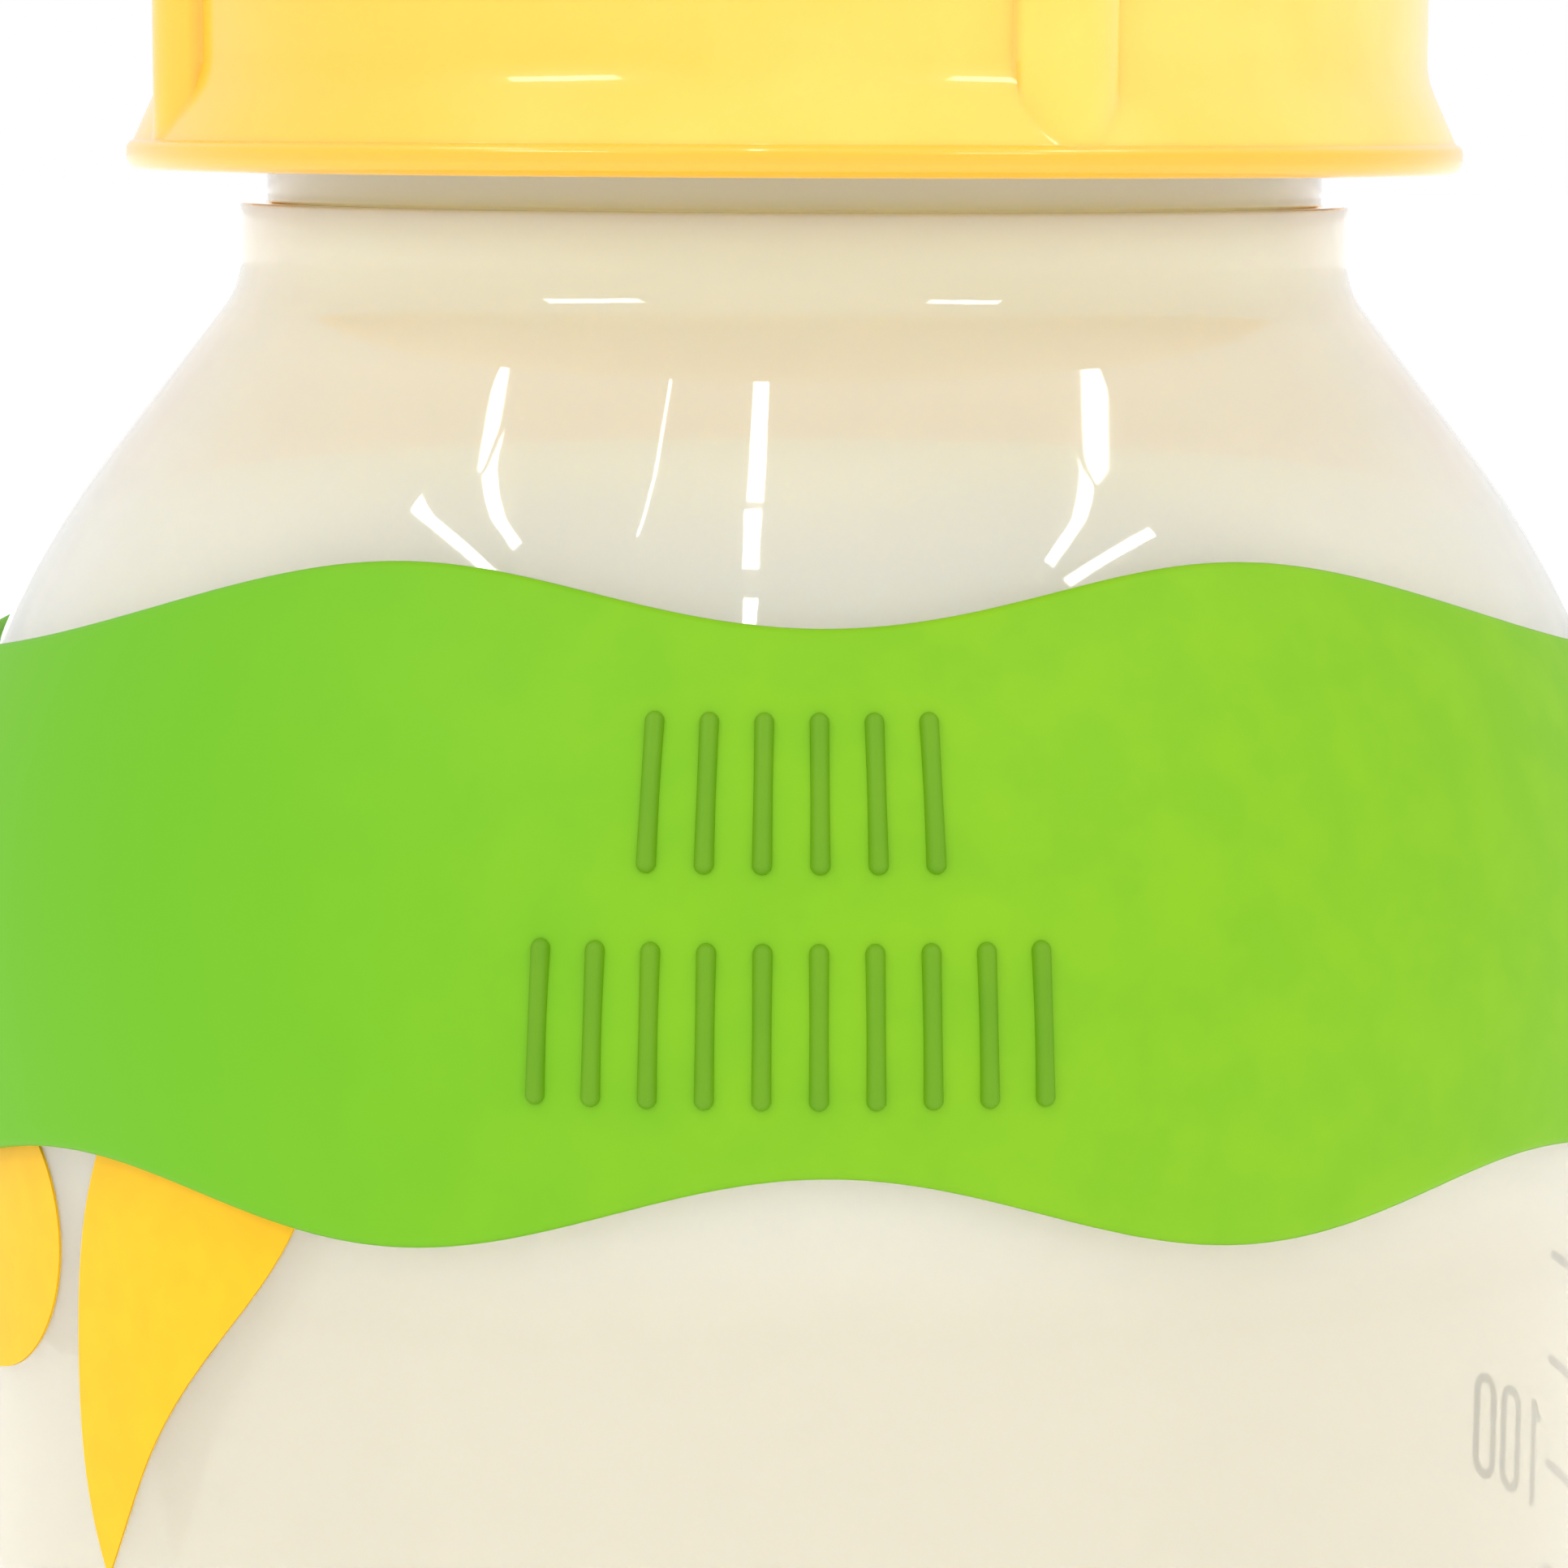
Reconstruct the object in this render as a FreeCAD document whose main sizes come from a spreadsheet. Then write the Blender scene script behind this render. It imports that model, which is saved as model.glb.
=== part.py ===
"""Baby feeding bottle: bottle, screw ring, teat, sealing disc, hood and a wavy grip sleeve.

Millimetres. +Z is the bottle's axis, pointing up. The origin is the centre of the base, on the
surface that the bottle stands on. -Y is the front. Angles are measured from the front towards +X.
"""
import FreeCAD, Part
import math
import os
import re

import Sketcher
from FreeCAD import Placement, Rotation, Vector

DIMENSIONS = {
    # bottle
    "body_radius": 30.0,
    "wall": 1.6,
    "foot_outer": 26.0,
    "foot_inner": 22.0,
    "push_up": 1.5,
    "push_up_radius": 20.0,
    "floor_thickness": 1.8,
    "base_corner": 4.0,
    "shoulder_start": 61.45,
    "shoulder_arc": 31.08,
    "shoulder_angle": 38.0,
    "bead_radius": 18.92,
    "bead_top": 89.1,
    "bead_blend": 2.7,
    "neck_radius": 18.0,
    "bore_radius": 16.0,
    "bore_blend": 6.0,
    "rim_height": 101.0,
    "small_round": 0.3,
    # two-start screw thread, shared by the neck and the ring
    "thread_starts": 2.0,
    "thread_lead": 8.0,
    "thread_turns": 0.7,
    "thread_bottom": 93.0,
    "neck_crest": 19.1,
    "neck_ridge_base": 2.3,
    "neck_ridge_tip": 1.2,
    "ring_crest": 18.25,
    "ring_ridge_base": 2.1,
    "ring_ridge_tip": 1.0,
    "ridge_sink": 0.3,
    # screw ring
    "ring_bottom": 90.2,
    "ring_radius": 21.45,
    "ring_bore": 19.35,
    "lip_radius": 22.95,
    "lip_slope": 0.4,
    "lip_round": 0.5,
    "flare_blend": 6.0,
    "hood_step": 101.9,
    "ring_top_radius": 20.2,
    "ring_top": 105.7,
    "ring_cap": 1.8,
    "ring_hole": 15.0,
    "ring_top_round": 0.6,
    "rib_count": 4.0,
    "rib_angle": 22.5,
    "rib_width": 3.3,
    "rib_side": 0.35,
    "rib_height": 1.05,
    "rib_end_gap": 0.5,
    # sealing disc and teat, stacked between the rim and the ring's cap
    "stack_gap": 0.05,
    "disc_radius": 17.4,
    "disc_thickness": 1.0,
    "plug_radius": 15.7,
    "plug_wall": 1.2,
    "plug_depth": 2.5,
    "teat_flange": 17.2,
    "teat_neck": 14.8,
    "teat_lock": 15.5,
    "teat_lock_height": 1.4,
    "teat_wall": 1.6,
    "dome_radius": 14.2,
    "dome_height": 119.0,
    "nipple_base": 124.5,
    "nipple_base_radius": 5.8,
    "nipple_radius": 5.2,
    "nipple_top": 141.0,
    "nipple_round": 4.6,
    "dome_round": 6.0,
    "teat_hole": 0.25,
    # hood
    "hood_radius": 21.45,
    "hood_bore": 20.4,
    "hood_top_radius": 19.6,
    "hood_top": 147.5,
    "hood_wall": 1.1,
    "hood_round": 11.0,
    # grip sleeve
    "sleeve_gap": 0.2,
    "sleeve_wall": 0.8,
    "sleeve_bottom": 59.59,
    "sleeve_top": 76.62,
    "sleeve_turn": 2.0,
    "bar_width": 0.6,
    "bar_length": 4.7,
    "bar_pitch": 1.65,
    "bar_height": 0.3,
    "upper_bar_height": 72.6,
    "upper_bar_count": 6.0,
    "lower_bar_height": 66.0,
    "lower_bar_count": 10.0,
    # prints on the bottle's wall
    "film": 0.08,
    "flower_angle": -58.34,
    "petal_width": 9.32,
    "petal_length": 9.36,
    "petal_height": 56.88,
    "scale_number_angle": 111.7,
    "scale_tick_angle": 104.7,
    "scale_step": 10.0,
    "scale_top": 120.0,
    "scale_major": 50.0,
    "tick_long": 5.0,
    "tick_short": 3.0,
    "print_line": 0.35,
    "digit_height": 4.1,
    "digit_width": 1.6,
    "digit_pitch": 2.05,
}

# The sleeve's edges, as amplitudes of cosines of 2, 4, 6 and 8 times the angle round the bottle.
TOP_WAVE = {2: 1.99, 4: -0.88, 6: -0.52, 8: -0.14}
BOTTOM_WAVE = {2: 0.74, 6: 0.42, 8: 0.79}
# Each quarter of an edge is a smooth curve through this many steps.
WAVE_POINTS = 24

# The curved horn petal beside the middle one: its two sides from top to tip, as distance round the
# wall from the flower's middle, and height.
HORN_INNER = [(7.15, 60.9), (6.1, 58.1), (5.7, 53.6), (5.95, 50.2), (7.1, 46.8)]
HORN_OUTER = [(15.8, 60.9), (14.2, 57.6), (11.6, 54.5), (9.2, 51.2), (7.9, 48.5), (7.1, 46.8)]
HORN_MIDDLE = 10.5

# The numeral 5 as the corners of its stroke, in half widths across and heights up.
FIVE = [(0.9, 1.0), (-0.8, 1.0), (-0.9, 0.56), (0.2, 0.62), (1.0, 0.45), (1.0, 0.18), (0.3, 0.0), (-1.0, 0.04)]

doc = FreeCAD.newDocument("feeding_bottle")
sheet = doc.addObject("Spreadsheet::Sheet", "Dims")


def fill_sheet():
    """Write each driving dimension as a plain number with its name as alias."""
    for row, (name, value) in enumerate(DIMENSIONS.items(), start=1):
        sheet.set(f"A{row}", name)
        sheet.set(f"B{row}", str(value))
        sheet.setAlias(f"B{row}", name)
    doc.recompute()


def cells(text):
    """Point every dimension name in an expression at its cell."""
    return re.sub(r"[a-z_]+", lambda word: "Dims." + word[0] if word[0] in DIMENSIONS else word[0], text)


def size(text):
    """The value of an expression of dimension names."""
    return float(sheet.evalExpression(cells(text)))


# Expressions that several pieces share.
SHOULDER_X = "body_radius - shoulder_arc"
CONE_X = f"{SHOULDER_X} + shoulder_arc * cos(shoulder_angle)"
CONE_Z = "shoulder_start + shoulder_arc * sin(shoulder_angle)"
INNER_CONE_X = f"{SHOULDER_X} + (shoulder_arc - wall) * cos(shoulder_angle)"
INNER_CONE_Z = "shoulder_start + (shoulder_arc - wall) * sin(shoulder_angle)"
BEAD_FOOT = f"{CONE_Z} + ({CONE_X} - bead_radius) / tan(shoulder_angle)"
BORE_FOOT = f"{INNER_CONE_Z} + ({INNER_CONE_X} - bore_radius) / tan(shoulder_angle)"
FLOOR = "push_up + floor_thickness"
FLARE_TOP = "ring_bottom + (lip_radius - ring_radius) / lip_slope"
FLARE_TANGENT = "flare_blend * tan(atan(lip_slope) / 2)"
CAP_UNDER = "ring_top - ring_cap"
DISC_BOTTOM = "rim_height + stack_gap"
DISC_TOP = f"{DISC_BOTTOM} + disc_thickness"
TEAT_BOTTOM = f"{DISC_TOP} + stack_gap"
TEAT_FLANGE_TOP = f"{CAP_UNDER} - stack_gap"
LOCK_BOTTOM = "ring_top + stack_gap"
HOOD_BOTTOM = "hood_step + stack_gap"


def new_body(label):
    body = doc.addObject("PartDesign::Body", label)
    body.Label = label
    body.Placement = Placement()
    return body


def plane_of(body, role):
    return next(item for item in body.Origin.OriginFeatures if item.Role == role)


def arc_through(start, end, radius):
    """An arc from start to end whose bulge is on the right of that direction, or left if negative."""
    chord = end - start
    half = chord.Length / 2
    side = Vector(chord.y, -chord.x, 0).normalize()
    rise = abs(radius) - math.sqrt(radius ** 2 - half ** 2)
    return Part.Arc(start, (start + end) / 2 + side * math.copysign(rise, radius), end)


def end_near(sketch, edge, point):
    """The sketch's number for whichever end of an edge is at point."""
    return 1 if sketch.getPoint(edge, 1).distanceToPoint(point) < 1e-6 else 2


def fix_coordinate(sketch, kind, axis, edge, end, text):
    """Hold one coordinate of an edge's end at an expression, or on the axis if it is zero."""
    if text == "0":
        sketch.addConstraint(Sketcher.Constraint("PointOnObject", edge, end, axis))
        return
    index = sketch.addConstraint(Sketcher.Constraint(kind, -1, 1, edge, end, size(text)))
    sketch.setExpression(f"Constraints[{index}]", cells(text))


def outline(body, name, corners, plane="XZ_Plane"):
    """A closed sketch through corners (across, up) or (across, up, radius of the arc to the next)."""
    sketch = body.newObject("Sketcher::SketchObject", name)
    sketch.AttachmentSupport = [(plane_of(body, plane), "")]
    sketch.MapMode = "FlatFace"
    points = [Vector(size(corner[0]), size(corner[1]), 0) for corner in corners]
    count = len(corners)
    for i, corner in enumerate(corners):
        start, end = points[i], points[(i + 1) % count]
        if len(corner) == 3:
            sketch.addGeometry(arc_through(start, end, size(corner[2])))
            index = sketch.addConstraint(Sketcher.Constraint("Radius", i, abs(size(corner[2]))))
            sketch.setExpression(f"Constraints[{index}]", f"abs({cells(corner[2])})")
        else:
            sketch.addGeometry(Part.LineSegment(start, end))
    for i, corner in enumerate(corners):
        end = end_near(sketch, i, points[i])
        before = (i - 1) % count
        link = Sketcher.Constraint("Coincident", before, end_near(sketch, before, points[i]), i, end)
        sketch.addConstraint(link)
        fix_coordinate(sketch, "DistanceX", -2, i, end, corner[0])
        fix_coordinate(sketch, "DistanceY", -1, i, end, corner[1])
    return sketch


def revolve(body, sketch):
    turned = body.newObject("PartDesign::Revolution", body.Label + "_turned")
    turned.Profile = sketch
    turned.ReferenceAxis = (sketch, ["V_Axis"])
    turned.Angle = 360
    return turned


def round_rims(body, base, radius, rims):
    """Fillet the circular edges of base, each named by its (radius, height)."""
    doc.recompute()
    names = []
    for across, up in rims:
        for number, edge in enumerate(base.Shape.Edges, start=1):
            circle = edge.Curve
            if not isinstance(circle, Part.Circle):
                continue
            if abs(circle.Radius - size(across)) < 1e-3 and abs(circle.Center.z - size(up)) < 1e-3:
                names.append(f"Edge{number}")
    if len(names) != len(rims):
        raise RuntimeError(f"{body.Label}: {len(rims)} rims asked for, {len(names)} found")
    fillet = body.newObject("PartDesign::Fillet", body.Label + "_round")
    fillet.Base = (base, names)
    fillet.setExpression("Radius", cells(radius))
    return fillet


def add_thread(body, root, crest, base_width, tip_width, height):
    """Run a ridge up a helix, once for each start, from its middle height at +Y."""
    half_base = f"({base_width}) / 2"
    half_tip = f"({tip_width}) / 2"
    profile = outline(body, body.Label + "_ridge", [
        (root, f"{height} - {half_base}"),
        (crest, f"{height} - {half_tip}"),
        (crest, f"{height} + {half_tip}"),
        (root, f"{height} + {half_base}"),
    ], plane="YZ_Plane")
    helix = body.newObject("PartDesign::AdditiveHelix", body.Label + "_helix")
    helix.Profile = profile
    helix.ReferenceAxis = (profile, ["V_Axis"])
    helix.Mode = "pitch-turns-angle"
    helix.setExpression("Pitch", "Dims.thread_lead")
    helix.setExpression("Turns", "Dims.thread_turns")
    return repeat_round(body, helix, (profile, ["V_Axis"]), "thread_starts")


def repeat_round(body, feature, axis, count):
    pattern = body.newObject("PartDesign::PolarPattern", feature.Name + "_round")
    pattern.Originals = [feature]
    pattern.Axis = axis
    pattern.Angle = 360
    pattern.setExpression("Occurrences", cells(count))
    body.Tip = pattern
    return pattern


def make_bottle():
    """A blow-moulded body with a curved shoulder, a bead and a threaded neck."""
    body = new_body("bottle_body")
    turned = revolve(body, outline(body, "bottle_profile", [
        ("0", "push_up"),
        ("push_up_radius", "push_up"),
        ("foot_inner", "0"),
        ("foot_outer", "0", "base_corner"),
        ("body_radius", "base_corner"),
        ("body_radius", "shoulder_start", "shoulder_arc"),
        (CONE_X, CONE_Z),
        ("bead_radius", BEAD_FOOT),
        ("bead_radius", "bead_top"),
        ("neck_radius", "bead_top"),
        ("neck_radius", "rim_height"),
        ("bore_radius", "rim_height"),
        ("bore_radius", BORE_FOOT),
        (INNER_CONE_X, INNER_CONE_Z, "wall - shoulder_arc"),
        ("body_radius - wall", "shoulder_start"),
        ("body_radius - wall", "base_corner + push_up", "-base_corner"),
        ("body_radius - wall - base_corner + push_up - floor_thickness", FLOOR),
        ("0", FLOOR),
    ]))
    blend = round_rims(body, turned, "bead_blend", [("bead_radius", BEAD_FOOT)])
    bore = round_rims(body, blend, "bore_blend", [("bore_radius", BORE_FOOT)])
    round_rims(body, bore, "small_round", [("neck_radius", "rim_height"), ("bore_radius", "rim_height")])
    add_thread(body, "neck_radius - ridge_sink", "neck_crest", "neck_ridge_base", "neck_ridge_tip",
               "thread_bottom")
    return body


def make_ring():
    """A screw ring with a flared lip, four grip ribs, an inside thread and a step for the hood."""
    body = new_body("screw_ring")
    turned = revolve(body, outline(body, "ring_profile", [
        ("ring_bore", "ring_bottom"),
        ("lip_radius", "ring_bottom"),
        (f"ring_radius + {FLARE_TANGENT} * sin(atan(lip_slope))",
         f"{FLARE_TOP} - {FLARE_TANGENT} * cos(atan(lip_slope))", "-flare_blend"),
        ("ring_radius", f"{FLARE_TOP} + {FLARE_TANGENT}"),
        ("ring_radius", "hood_step"),
        ("ring_top_radius", "hood_step"),
        ("ring_top_radius", "ring_top"),
        ("ring_hole", "ring_top"),
        ("ring_hole", CAP_UNDER),
        ("ring_bore", CAP_UNDER),
    ]))
    lip = round_rims(body, turned, "lip_round", [("lip_radius", "ring_bottom")])
    top = round_rims(body, lip, "ring_top_round", [("ring_top_radius", "ring_top")])
    round_rims(body, top, "small_round", [("ring_hole", "ring_top"), ("ring_radius", "hood_step")])
    add_ribs(body)
    add_thread(body, "ring_bore + ridge_sink", "ring_crest", "ring_ridge_base", "ring_ridge_tip",
               "thread_bottom + thread_lead / thread_starts / 2")
    return body


def add_ribs(body):
    """Crowned upright ribs that sink into the flared lip at their lower ends."""
    crown = "((rib_width / 2)^2 + (rib_height - rib_side)^2) / (2 * (rib_height - rib_side))"
    sketch = outline(body, "rib_section", [
        ("ring_radius - ridge_sink", "-rib_width / 2"),
        ("ring_radius + rib_side", "-rib_width / 2", crown),
        ("ring_radius + rib_side", "rib_width / 2"),
        ("ring_radius - ridge_sink", "rib_width / 2"),
    ], plane="XY_Plane")
    facing = Rotation(Vector(0, 0, 1), size("rib_angle") - 90)
    sketch.AttachmentOffset = Placement(Vector(0, 0, 0), facing)
    sketch.setExpression("AttachmentOffset.Base.z", cells("ring_bottom + rib_end_gap"))
    pad = body.newObject("PartDesign::Pad", "rib")
    pad.Profile = sketch
    pad.setExpression("Length", cells("hood_step - ring_bottom - 2 * rib_end_gap"))
    return repeat_round(body, pad, (plane_of(body, "Z_Axis"), [""]), "rib_count")


def make_disc():
    """A disc that closes the mouth, with a hollow plug in the bore."""
    body = new_body("sealing_disc")
    turned = revolve(body, outline(body, "disc_profile", [
        ("0", DISC_BOTTOM),
        ("plug_radius - plug_wall", DISC_BOTTOM),
        ("plug_radius - plug_wall", f"{DISC_BOTTOM} - plug_depth"),
        ("plug_radius", f"{DISC_BOTTOM} - plug_depth"),
        ("plug_radius", DISC_BOTTOM),
        ("disc_radius", DISC_BOTTOM),
        ("disc_radius", DISC_TOP),
        ("0", DISC_TOP),
    ]))
    round_rims(body, turned, "small_round", [("plug_radius", f"{DISC_BOTTOM} - plug_depth"),
                                             ("disc_radius", DISC_TOP)])
    return body


def make_teat():
    """A soft teat whose flange is held under the ring's cap and whose bead locks above it."""
    body = new_body("teat")
    lock_top = f"{LOCK_BOTTOM} + teat_lock_height"
    turned = revolve(body, outline(body, "teat_profile", [
        ("teat_neck - teat_wall", TEAT_BOTTOM),
        ("teat_flange", TEAT_BOTTOM),
        ("teat_flange", TEAT_FLANGE_TOP),
        ("teat_neck", TEAT_FLANGE_TOP),
        ("teat_neck", LOCK_BOTTOM),
        ("teat_lock", LOCK_BOTTOM),
        ("teat_lock", lock_top),
        ("dome_radius", "dome_height"),
        ("nipple_base_radius", "nipple_base"),
        ("nipple_radius", "nipple_top"),
        ("teat_hole", "nipple_top"),
        ("teat_hole", "nipple_top - teat_wall"),
        ("nipple_radius - teat_wall", "nipple_top - teat_wall"),
        ("nipple_base_radius - teat_wall", "nipple_base - teat_wall / 2"),
        ("dome_radius - teat_wall", "dome_height - teat_wall"),
        ("teat_neck - teat_wall", lock_top),
    ]))
    tip = round_rims(body, turned, "nipple_round", [("nipple_radius", "nipple_top")])
    dome = round_rims(body, tip, "dome_round", [("dome_radius", "dome_height"),
                                                ("nipple_base_radius", "nipple_base")])
    inner = round_rims(body, dome, "dome_round - teat_wall", [
        ("dome_radius - teat_wall", "dome_height - teat_wall"),
        ("nipple_base_radius - teat_wall", "nipple_base - teat_wall / 2"),
    ])
    hollow_tip = [("nipple_radius - teat_wall", "nipple_top - teat_wall")]
    end = round_rims(body, inner, "nipple_round - teat_wall", hollow_tip)
    round_rims(body, end, "small_round", [("teat_lock", LOCK_BOTTOM), ("teat_lock", lock_top)])
    return body


def make_hood():
    """A clear cap that stands on the ring's step and covers the teat."""
    body = new_body("hood")
    turned = revolve(body, outline(body, "hood_profile", [
        ("hood_bore", HOOD_BOTTOM),
        ("hood_radius", HOOD_BOTTOM),
        ("hood_top_radius", "hood_top"),
        ("0", "hood_top"),
        ("0", "hood_top - hood_wall"),
        ("hood_top_radius - hood_wall", "hood_top - hood_wall"),
    ]))
    outer = round_rims(body, turned, "hood_round", [("hood_top_radius", "hood_top")])
    inner_edge = [("hood_top_radius - hood_wall", "hood_top - hood_wall")]
    inner = round_rims(body, outer, "hood_round - hood_wall", inner_edge)
    round_rims(body, inner, "small_round", [("hood_radius", HOOD_BOTTOM)])
    return body


def shoulder_shell(inner, outer, low, high):
    """A skin round the bottle between two offsets from its wall, from low to the shoulder's high."""
    centre = Vector(size(SHOULDER_X), 0, size("shoulder_start"))
    sides = []
    for offset in (inner, outer):
        radius = size("shoulder_arc") + offset
        angle = math.asin((high - centre.z) / radius)
        turn = [centre + Vector(radius * math.cos(part), 0, radius * math.sin(part))
                for part in (0, angle / 2, angle)]
        foot = Vector(size("body_radius") + offset, 0, low)
        sides.append((foot, turn))
    (foot_in, turn_in), (foot_out, turn_out) = sides
    wire = Part.Wire([
        Part.makeLine(foot_in, foot_out),
        Part.makeLine(foot_out, turn_out[0]),
        Part.Arc(*turn_out).toShape(),
        Part.makeLine(turn_out[2], turn_in[2]),
        Part.Arc(*reversed(turn_in)).toShape(),
        Part.makeLine(turn_in[0], foot_in),
    ])
    return Part.Face(wire).revolve(Vector(0, 0, 0), Vector(0, 0, 1), 360)


def around(angle, radius, height):
    """A point at an angle from the front, towards +X."""
    turn = math.radians(angle)
    return Vector(radius * math.sin(turn), -radius * math.cos(turn), height)


def wave_solid(middle, waves, reach):
    """Everything above, or below if reach is negative, the wavy edge of the sleeve, in quarters."""
    quarters = []
    for quarter in range(4):
        edges = []
        for radius in (size("body_radius") / 2, size("body_radius") + 5):
            points = []
            for step in range(WAVE_POINTS + 1):
                angle = 90 * (quarter + step / WAVE_POINTS)
                lift = sum(height * math.cos(math.radians(times * angle)) for times, height in waves.items())
                points.append(around(angle + size("sleeve_turn"), radius, middle + lift))
            curve = Part.BSplineCurve()
            curve.interpolate(points)
            edges.append(curve.toShape())
        quarters.append(Part.makeRuledSurface(*edges).extrude(Vector(0, 0, reach)))
    return Part.makeCompound(quarters)


def make_feature(label, shape):
    feature = doc.addObject("Part::Feature", label)
    feature.Label = label
    feature.Shape = shape
    feature.Placement = Placement()
    return feature


def make_sleeve():
    """A soft band on the shoulder, cut from a skin by a wavy upper and a wavy lower edge."""
    gap = size("sleeve_gap")
    margin = 6.0
    low = size("sleeve_bottom") - margin
    high = size("sleeve_top") + margin / 2
    blank = make_feature("sleeve_blank", shoulder_shell(gap, gap + size("sleeve_wall"), low, high))
    above = make_feature("sleeve_top_cut", wave_solid(size("sleeve_top"), TOP_WAVE, 2 * margin))
    below = make_feature("sleeve_bottom_cut", wave_solid(size("sleeve_bottom"), BOTTOM_WAVE, -2 * margin))
    trimmed = doc.addObject("Part::Cut", "sleeve_trimmed")
    trimmed.Base = blank
    trimmed.Tool = above
    sleeve = doc.addObject("Part::Cut", "grip_sleeve")
    sleeve.Base = trimmed
    sleeve.Tool = below
    sleeve.Label = "grip_sleeve"
    return sleeve


def pill(start, end, width, reach):
    """A round-ended bar in the XZ plane, width wide, through to y = -reach."""
    run = end - start
    depth = Vector(0, -reach, 0)
    solid = Part.makeCylinder(width / 2, reach, start, depth)
    if run.Length < 1e-6:
        return solid
    side = Vector(run.z, 0, -run.x).normalize() * (width / 2)
    corners = [start + side, end + side, end - side, start - side]
    slab = Part.Face(Part.makePolygon(corners + corners[:1])).extrude(depth)
    return solid.fuse([slab, Part.makeCylinder(width / 2, reach, end, depth)]).removeSplitter()


def turned_to(shape, angle):
    """A copy of a shape at the front, turned about the bottle's axis."""
    copy = shape.copy()
    copy.rotate(Vector(0, 0, 0), Vector(0, 0, 1), angle)
    return copy


def make_bars():
    """Two rows of raised upright bars on the front of the sleeve."""
    gap = size("sleeve_gap + sleeve_wall")
    skin = shoulder_shell(gap, gap + size("bar_height"), size("sleeve_bottom"), size("sleeve_top"))
    reach = size("body_radius") + 5
    half = (size("bar_length") - size("bar_width")) / 2
    bars = []
    for row in ("upper", "lower"):
        height = size(f"{row}_bar_height")
        count = int(size(f"{row}_bar_count"))
        across = math.sqrt((size("shoulder_arc") + gap) ** 2 - (height - size("shoulder_start")) ** 2)
        pitch = math.degrees(size("bar_pitch") / (across + size(SHOULDER_X)))
        bar = pill(Vector(0, 0, height - half), Vector(0, 0, height + half), size("bar_width"), reach)
        for place in range(count):
            bars.append(turned_to(bar.common(skin), (place - (count - 1) / 2) * pitch))
    return make_feature("sleeve_grip_bars", Part.makeCompound(bars))


def wall_film():
    """The thin layer that the prints are cut from."""
    radius = size("body_radius")
    height = size("shoulder_start")
    return Part.makeCylinder(radius + size("film"), height).cut(Part.makeCylinder(radius, height))


def smooth_edge(points, middle):
    """A smooth curve in the XZ plane through (distance round, height) points."""
    curve = Part.BSplineCurve()
    curve.interpolate([Vector(across - middle, 0, height) for across, height in points])
    return curve.toShape()


def make_petals():
    """A printed flower: an oval petal between two curved horn petals."""
    film = wall_film()
    reach = Vector(0, -size("body_radius") - 5, 0)
    centre = Vector(0, 0, size("petal_height"))
    oval = Part.Ellipse(centre, size("petal_length") / 2, size("petal_width") / 2)
    edge = oval.toShape()
    edge.rotate(centre, Vector(1, 0, 0), 90)
    edge.rotate(centre, Vector(0, 1, 0), 90)
    middle_petal = Part.Face(Part.Wire([edge])).extrude(reach).common(film)
    sides = [smooth_edge(HORN_INNER, HORN_MIDDLE), smooth_edge(HORN_OUTER, HORN_MIDDLE)]
    top = Part.makeLine(sides[0].Vertexes[0].Point, sides[1].Vertexes[0].Point)
    horn = Part.Face(Part.Wire(Part.__sortEdges__(sides + [top]))).extrude(reach).common(film)
    aside = math.degrees(HORN_MIDDLE / size("body_radius"))
    other = horn.mirror(Vector(0, 0, 0), Vector(1, 0, 0))
    petals = [middle_petal, turned_to(horn, aside), turned_to(other, -aside)]
    turned = [turned_to(petal, size("flower_angle")) for petal in petals]
    return make_feature("petal_prints", Part.makeCompound(turned))


def digit(character, reach):
    """A plain numeral centred on x = 0 and z = 0, as a prism."""
    line = size("print_line")
    half = (size("digit_width") - line) / 2
    tall = size("digit_height") - line
    low = Vector(0, 0, -tall / 2)
    high = Vector(0, 0, tall / 2)
    if character == "1":
        flag = pill(high, high - Vector(half * 0.8, 0, half * 0.7), line, reach)
        return pill(low, high, line, reach).fuse(flag).removeSplitter()
    if character == "0":
        width = size("digit_width")
        inset = Vector(0, 0, (width - line) / 2)
        outer = pill(low + inset, high - inset, width, reach)
        return outer.cut(pill(low + inset, high - inset, width - 2 * line, reach))
    corners = [low + Vector(across * half, 0, up * tall) for across, up in FIVE]
    strokes = [pill(start, end, line, reach) for start, end in zip(corners, corners[1:])]
    return strokes[0].fuse(strokes[1:]).removeSplitter()


def fill_height(millilitres):
    """The height that this much liquid reaches inside the bottle."""
    return size(FLOOR) + 1000 * millilitres / (math.pi * size("body_radius - wall") ** 2)


def make_scale():
    """Printed volume marks: a line each 10 ml, longer ones with a numeral each 50 ml."""
    film = wall_film()
    radius = size("body_radius")
    reach = radius + 5
    marks = []
    volume = 2 * size("scale_step")
    while volume <= size("scale_top"):
        height = fill_height(volume)
        major = volume % size("scale_major") == 0
        length = size("tick_long") if major else size("tick_short")
        tick = pill(Vector(-length, 0, height), Vector(0, 0, height), size("print_line"), reach)
        marks.append(turned_to(tick, size("scale_tick_angle")))
        if major:
            text = f"{volume:.0f}"
            for place, character in enumerate(text):
                numeral = digit(character, reach)
                numeral.translate(Vector(0, 0, height))
                shift = (place - (len(text) - 1) / 2) * size("digit_pitch")
                marks.append(turned_to(numeral, size("scale_number_angle") + math.degrees(shift / radius)))
        volume += size("scale_step")
    return make_feature("volume_scale", Part.makeCompound([mark.common(film) for mark in marks]))


def check_document():
    for item in doc.Objects:
        if "Invalid" in item.State or "Error" in item.State:
            raise RuntimeError(f"{item.Name} failed: {item.State}")


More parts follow.
